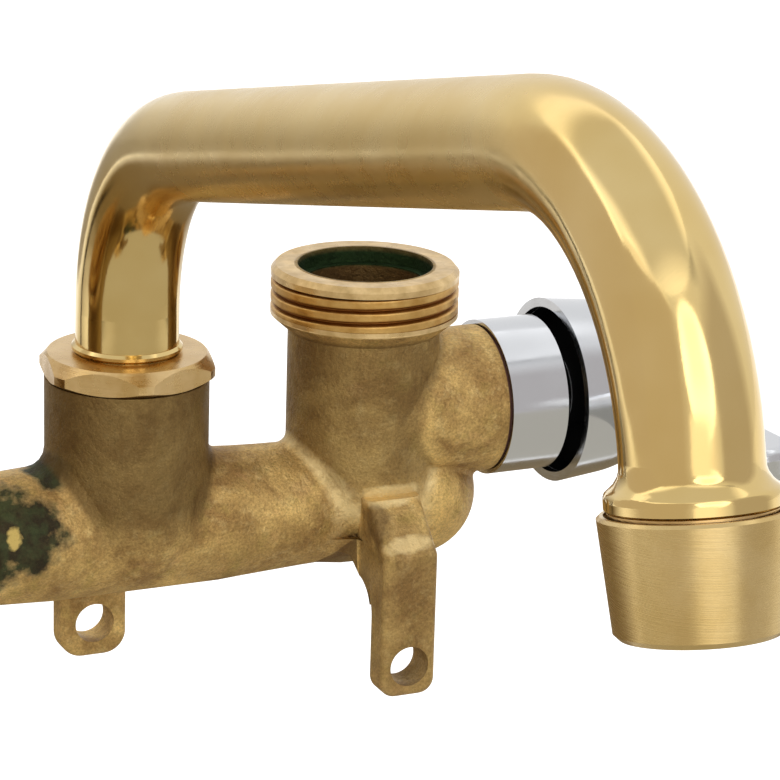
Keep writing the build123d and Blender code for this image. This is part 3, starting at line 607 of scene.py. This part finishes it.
def wall_card(name, turns, rises, distance, shade, softness):
    """Upright card seen from the spout's end between two turns from the front and two rises, in degrees."""
    corners = []
    middle = radians(sum(turns) / 2)
    half = distance * tan(radians(turns[1] - turns[0]) / 2)
    for side, rise in ((-1, rises[0]), (1, rises[0]), (1, rises[1]), (-1, rises[1])):
        x = distance * sin(middle) + side * half * cos(middle)
        y = -distance * cos(middle) + side * half * sin(middle)
        corners.append(spout_end + Vector((x, y, distance * tan(radians(rise)))))
    card(name, corners, shade, softness)


def level_card(name, xs, ys, z, shade, softness):
    """Level card between two places along X and two along Y."""
    corners = [(xs[across], ys[along], z) for across, along in ((0, 0), (1, 0), (1, 1), (0, 1))]
    card(name, corners, shade, softness)


def background_switch(tree, own, shown):
    """Own shader for lighting rays, another for rays that show the background."""
    path = tree.nodes.new("ShaderNodeLightPath")
    seen = path.outputs["Is Camera Ray"]
    for name in ("Is Glossy Ray", "Is Transmission Ray"):
        either = tree.nodes.new("ShaderNodeMath")
        either.operation = "MAXIMUM"
        tree.links.new(seen, either.inputs[0])
        tree.links.new(path.outputs[name], either.inputs[1])
        seen = either.outputs[0]
    both = tree.nodes.new("ShaderNodeMixShader")
    tree.links.new(seen, both.inputs[0])
    tree.links.new(own, both.inputs[1])
    tree.links.new(shown, both.inputs[2])
    return both.outputs[0]


def world():
    """Plain light from all sides, with white shown behind."""
    plain_light = 0.75
    made = bpy.data.worlds.new("studio")
    bpy.context.scene.world = made
    made.use_nodes = True
    tree = made.node_tree
    tree.nodes.clear()
    own = tree.nodes.new("ShaderNodeBackground")
    own.inputs["Color"].default_value = (1, 1, 1, 1)
    own.inputs["Strength"].default_value = plain_light
    output = tree.nodes.new("ShaderNodeOutputWorld")
    white = tree.nodes.new("ShaderNodeBackground")
    white.inputs["Color"].default_value = (1, 1, 1, 1)
    tree.links.new(background_switch(tree, own.outputs[0], white.outputs[0]), output.inputs["Surface"])


def floor():
    """Pale floor well below the faucet, which hangs on its mount."""
    half, lift_to_white = 6.0, 0.6
    mesh = bpy.data.meshes.new("floor")
    corners = [(x * half, y * half, floor_level) for x, y in ((-1, -1), (1, -1), (1, 1), (-1, 1))]
    mesh.from_pydata(corners, [], [(0, 1, 2, 3)])
    made = new_object("floor", mesh)
    f = Finish("floor", (0.80, 0.80, 0.80), 0.0, 0.7)
    lift = f.node("Emission")
    lift.inputs["Strength"].default_value = lift_to_white
    shown = f.node("AddShader")
    f.link(f.shader.outputs[0], shown.inputs[0])
    f.link(lift.outputs[0], shown.inputs[1])
    f.link(background_switch(f.tree, f.shader.outputs[0], shown.outputs[0]), f.output.inputs["Surface"])
    mesh.materials.append(f.material)


# Each wall card: turns and rises in degrees, distance, shade, softness of its left, right, low and high edges
wall_cards = {
    "key_card": ((-27, 16), (16, 54), 1.45, (0.12, 0.12, 0.12), (0.3, 0.3, 0.3, 0.3)),
    "streak_card": ((-32, 17), (-16, 20), 1.0, (1.7, 1.65, 1.55), (0.1, 0.45, 0.4, 0.1)),
    "left_front_card": ((-96, -25), (-16, 50), 1.10, (0.73, 0.67, 0.60), (0.05, 0.25, 0.02, 0.02)),
    "left_front_rim": ((-96, -30), (50, 54), 1.12, (1.4, 1.35, 1.25), (0.1, 0.3, 0.05, 0.9)),
    "left_card": ((-151, -90), (-15, 42), 1.15, (0.72, 0.66, 0.60), (0.03, 0.05, 0.02, 0.02)),
    "left_rim": ((-150, -92), (42, 46), 1.17, (1.5, 1.45, 1.35), (0.1, 0.1, 0.05, 0.9)),
    "right_card": ((18, 88), (-16, 52), 1.05, (0.64, 0.61, 0.60), (0.1, 0.25, 0.02, 0.3)),
    "back_left_card": ((-186, -151), (-15, 13), 1.15, (0.42, 0.39, 0.34), (0.3, 0.03, 0.02, 0.7)),
    "dark_card": ((-155.5, -150.5), (-24, -9), 0.65, (0.03, 0.02, 0.01), (0.25, 0.25, 0.25, 0.3)),
}
# Each level card: two places along X, two along Y, height, shade, softness as above
level_cards = {
    "top_card": ((-1.15, 0.95), (-0.95, 1.1), 1.42, (0.2, 0.2, 0.2), (0.15, 0.15, 0.15, 0.15)),
    "front_floor_card": ((-1.3, 1.3), (-1.5, 0.06), low_level, (0.60, 0.57, 0.49), (0.25, 0.25, 0.25, 0.02)),
    "back_floor_card": ((-0.8, 0.7), (0.05, 0.90), low_level, (0.25, 0.19, 0.11), (0.25, 0.25, 0.02, 0.3)),
}

camera()
world()
floor()
area_light("key", place=(-0.08, -1.10, 0.69), target=spout_end, size=0.9, power=3.8)
area_light("top", place=(-0.1, 0.1, 1.2), target=(0, -0.06, 0.07), size=2.2, power=8)
for name, values in wall_cards.items():
    wall_card(name, *values)
for name, values in level_cards.items():
    level_card(name, *values)

scene = bpy.context.scene
scene.view_settings.view_transform = "Standard"
